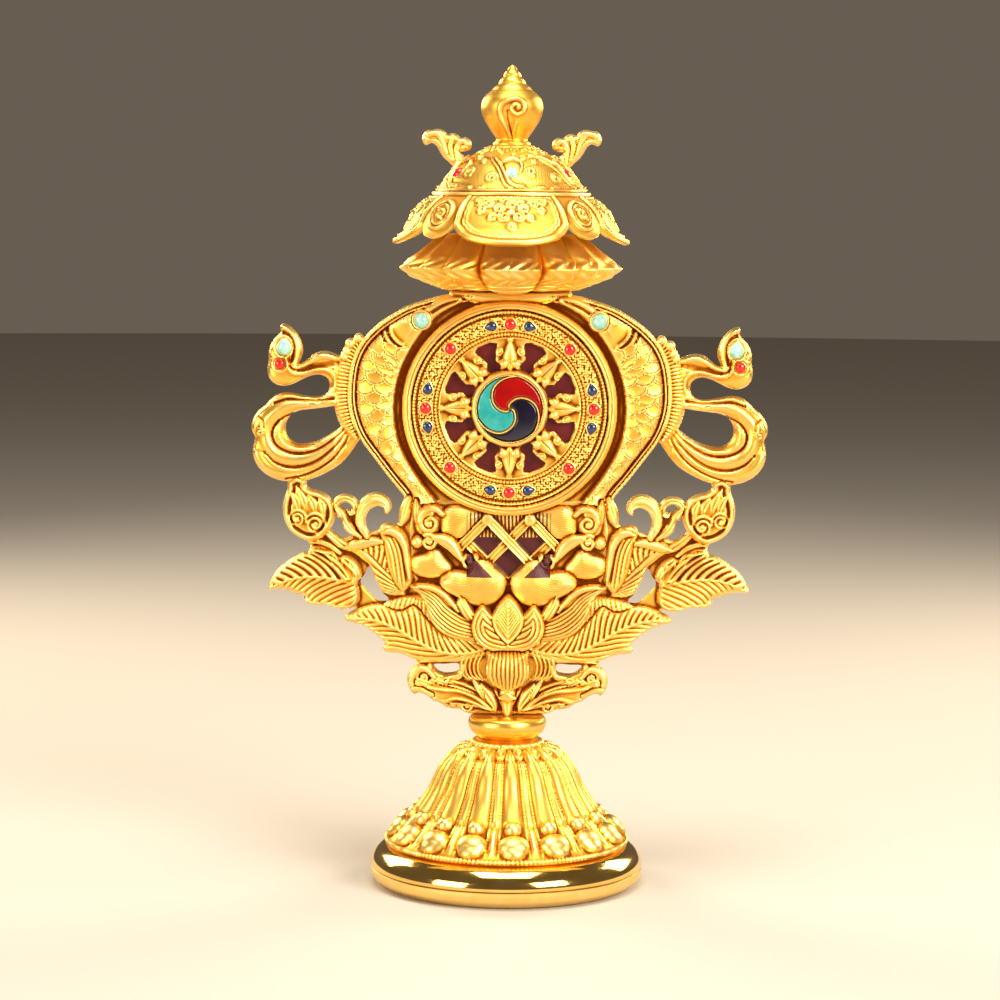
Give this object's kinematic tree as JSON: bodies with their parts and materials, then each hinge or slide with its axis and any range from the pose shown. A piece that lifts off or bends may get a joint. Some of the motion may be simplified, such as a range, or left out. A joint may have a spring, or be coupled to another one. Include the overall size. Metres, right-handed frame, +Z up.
{
  "type": "altar ornament",
  "caption": "Upright gilt altar ornament: parasol, twin fish round a stone-set wheel, ribbons, knot, clouds and lotus leaves on a fluted bell foot.",
  "frame": {"origin": "centre of the plinth's underside", "axes": "+Z up, the front with the wheel's stones faces -Y, +X is the viewer's right"},
  "size_m": [0.1284, 0.0684, 0.2048],
  "materials": {
    "polished_gilt": "gold-plated zinc casting, mirror polished on top and satin below",
    "gilt": "satin gold plating over fine sand-blasted casting, darker in the hollows",
    "coral": "glossy red coral-like stones",
    "turquoise": "glossy pale turquoise stones",
    "lapis": "glossy dark blue stones",
    "red_enamel": "glossy red enamel",
    "blue_enamel": "glossy blue-black enamel",
    "turquoise_enamel": "glossy turquoise enamel",
    "maroon_lacquer": "dark red lacquer"
  },
  "bodies": {
    "root": {"plinth": "polished_gilt", "foot": "gilt", "collar": "gilt", "body": "gilt", "wheel": "gilt", "canopy": "gilt", "valance": "gilt", "finial": "gilt", "wheel_ground": "maroon_lacquer", "enamel_red": "red_enamel", "enamel_blue": "blue_enamel", "enamel_turquoise": "turquoise_enamel", "wheel_coral_1": "coral", "wheel_coral_2": "coral", "wheel_coral_3": "coral", "wheel_coral_4": "coral", "wheel_coral_5": "coral", "wheel_coral_6": "coral", "wheel_coral_7": "coral", "wheel_coral_8": "coral", "wheel_lapis_1a": "lapis", "wheel_lapis_1b": "lapis", "wheel_lapis_2a": "lapis", "wheel_lapis_2b": "lapis", "wheel_lapis_3a": "lapis", "wheel_lapis_3b": "lapis", "wheel_lapis_4a": "lapis", "wheel_lapis_4b": "lapis", "fish_eye_right": "turquoise", "ribbon_turquoise_right": "turquoise", "ribbon_coral_right": "coral", "fish_eye_left": "turquoise", "ribbon_turquoise_left": "turquoise", "ribbon_coral_left": "coral", "canopy_coral_1": "coral", "canopy_turquoise_1": "turquoise", "canopy_coral_2": "coral", "canopy_turquoise_2": "turquoise", "canopy_coral_3": "coral", "canopy_turquoise_3": "turquoise"}
  },
  "joints": []
}
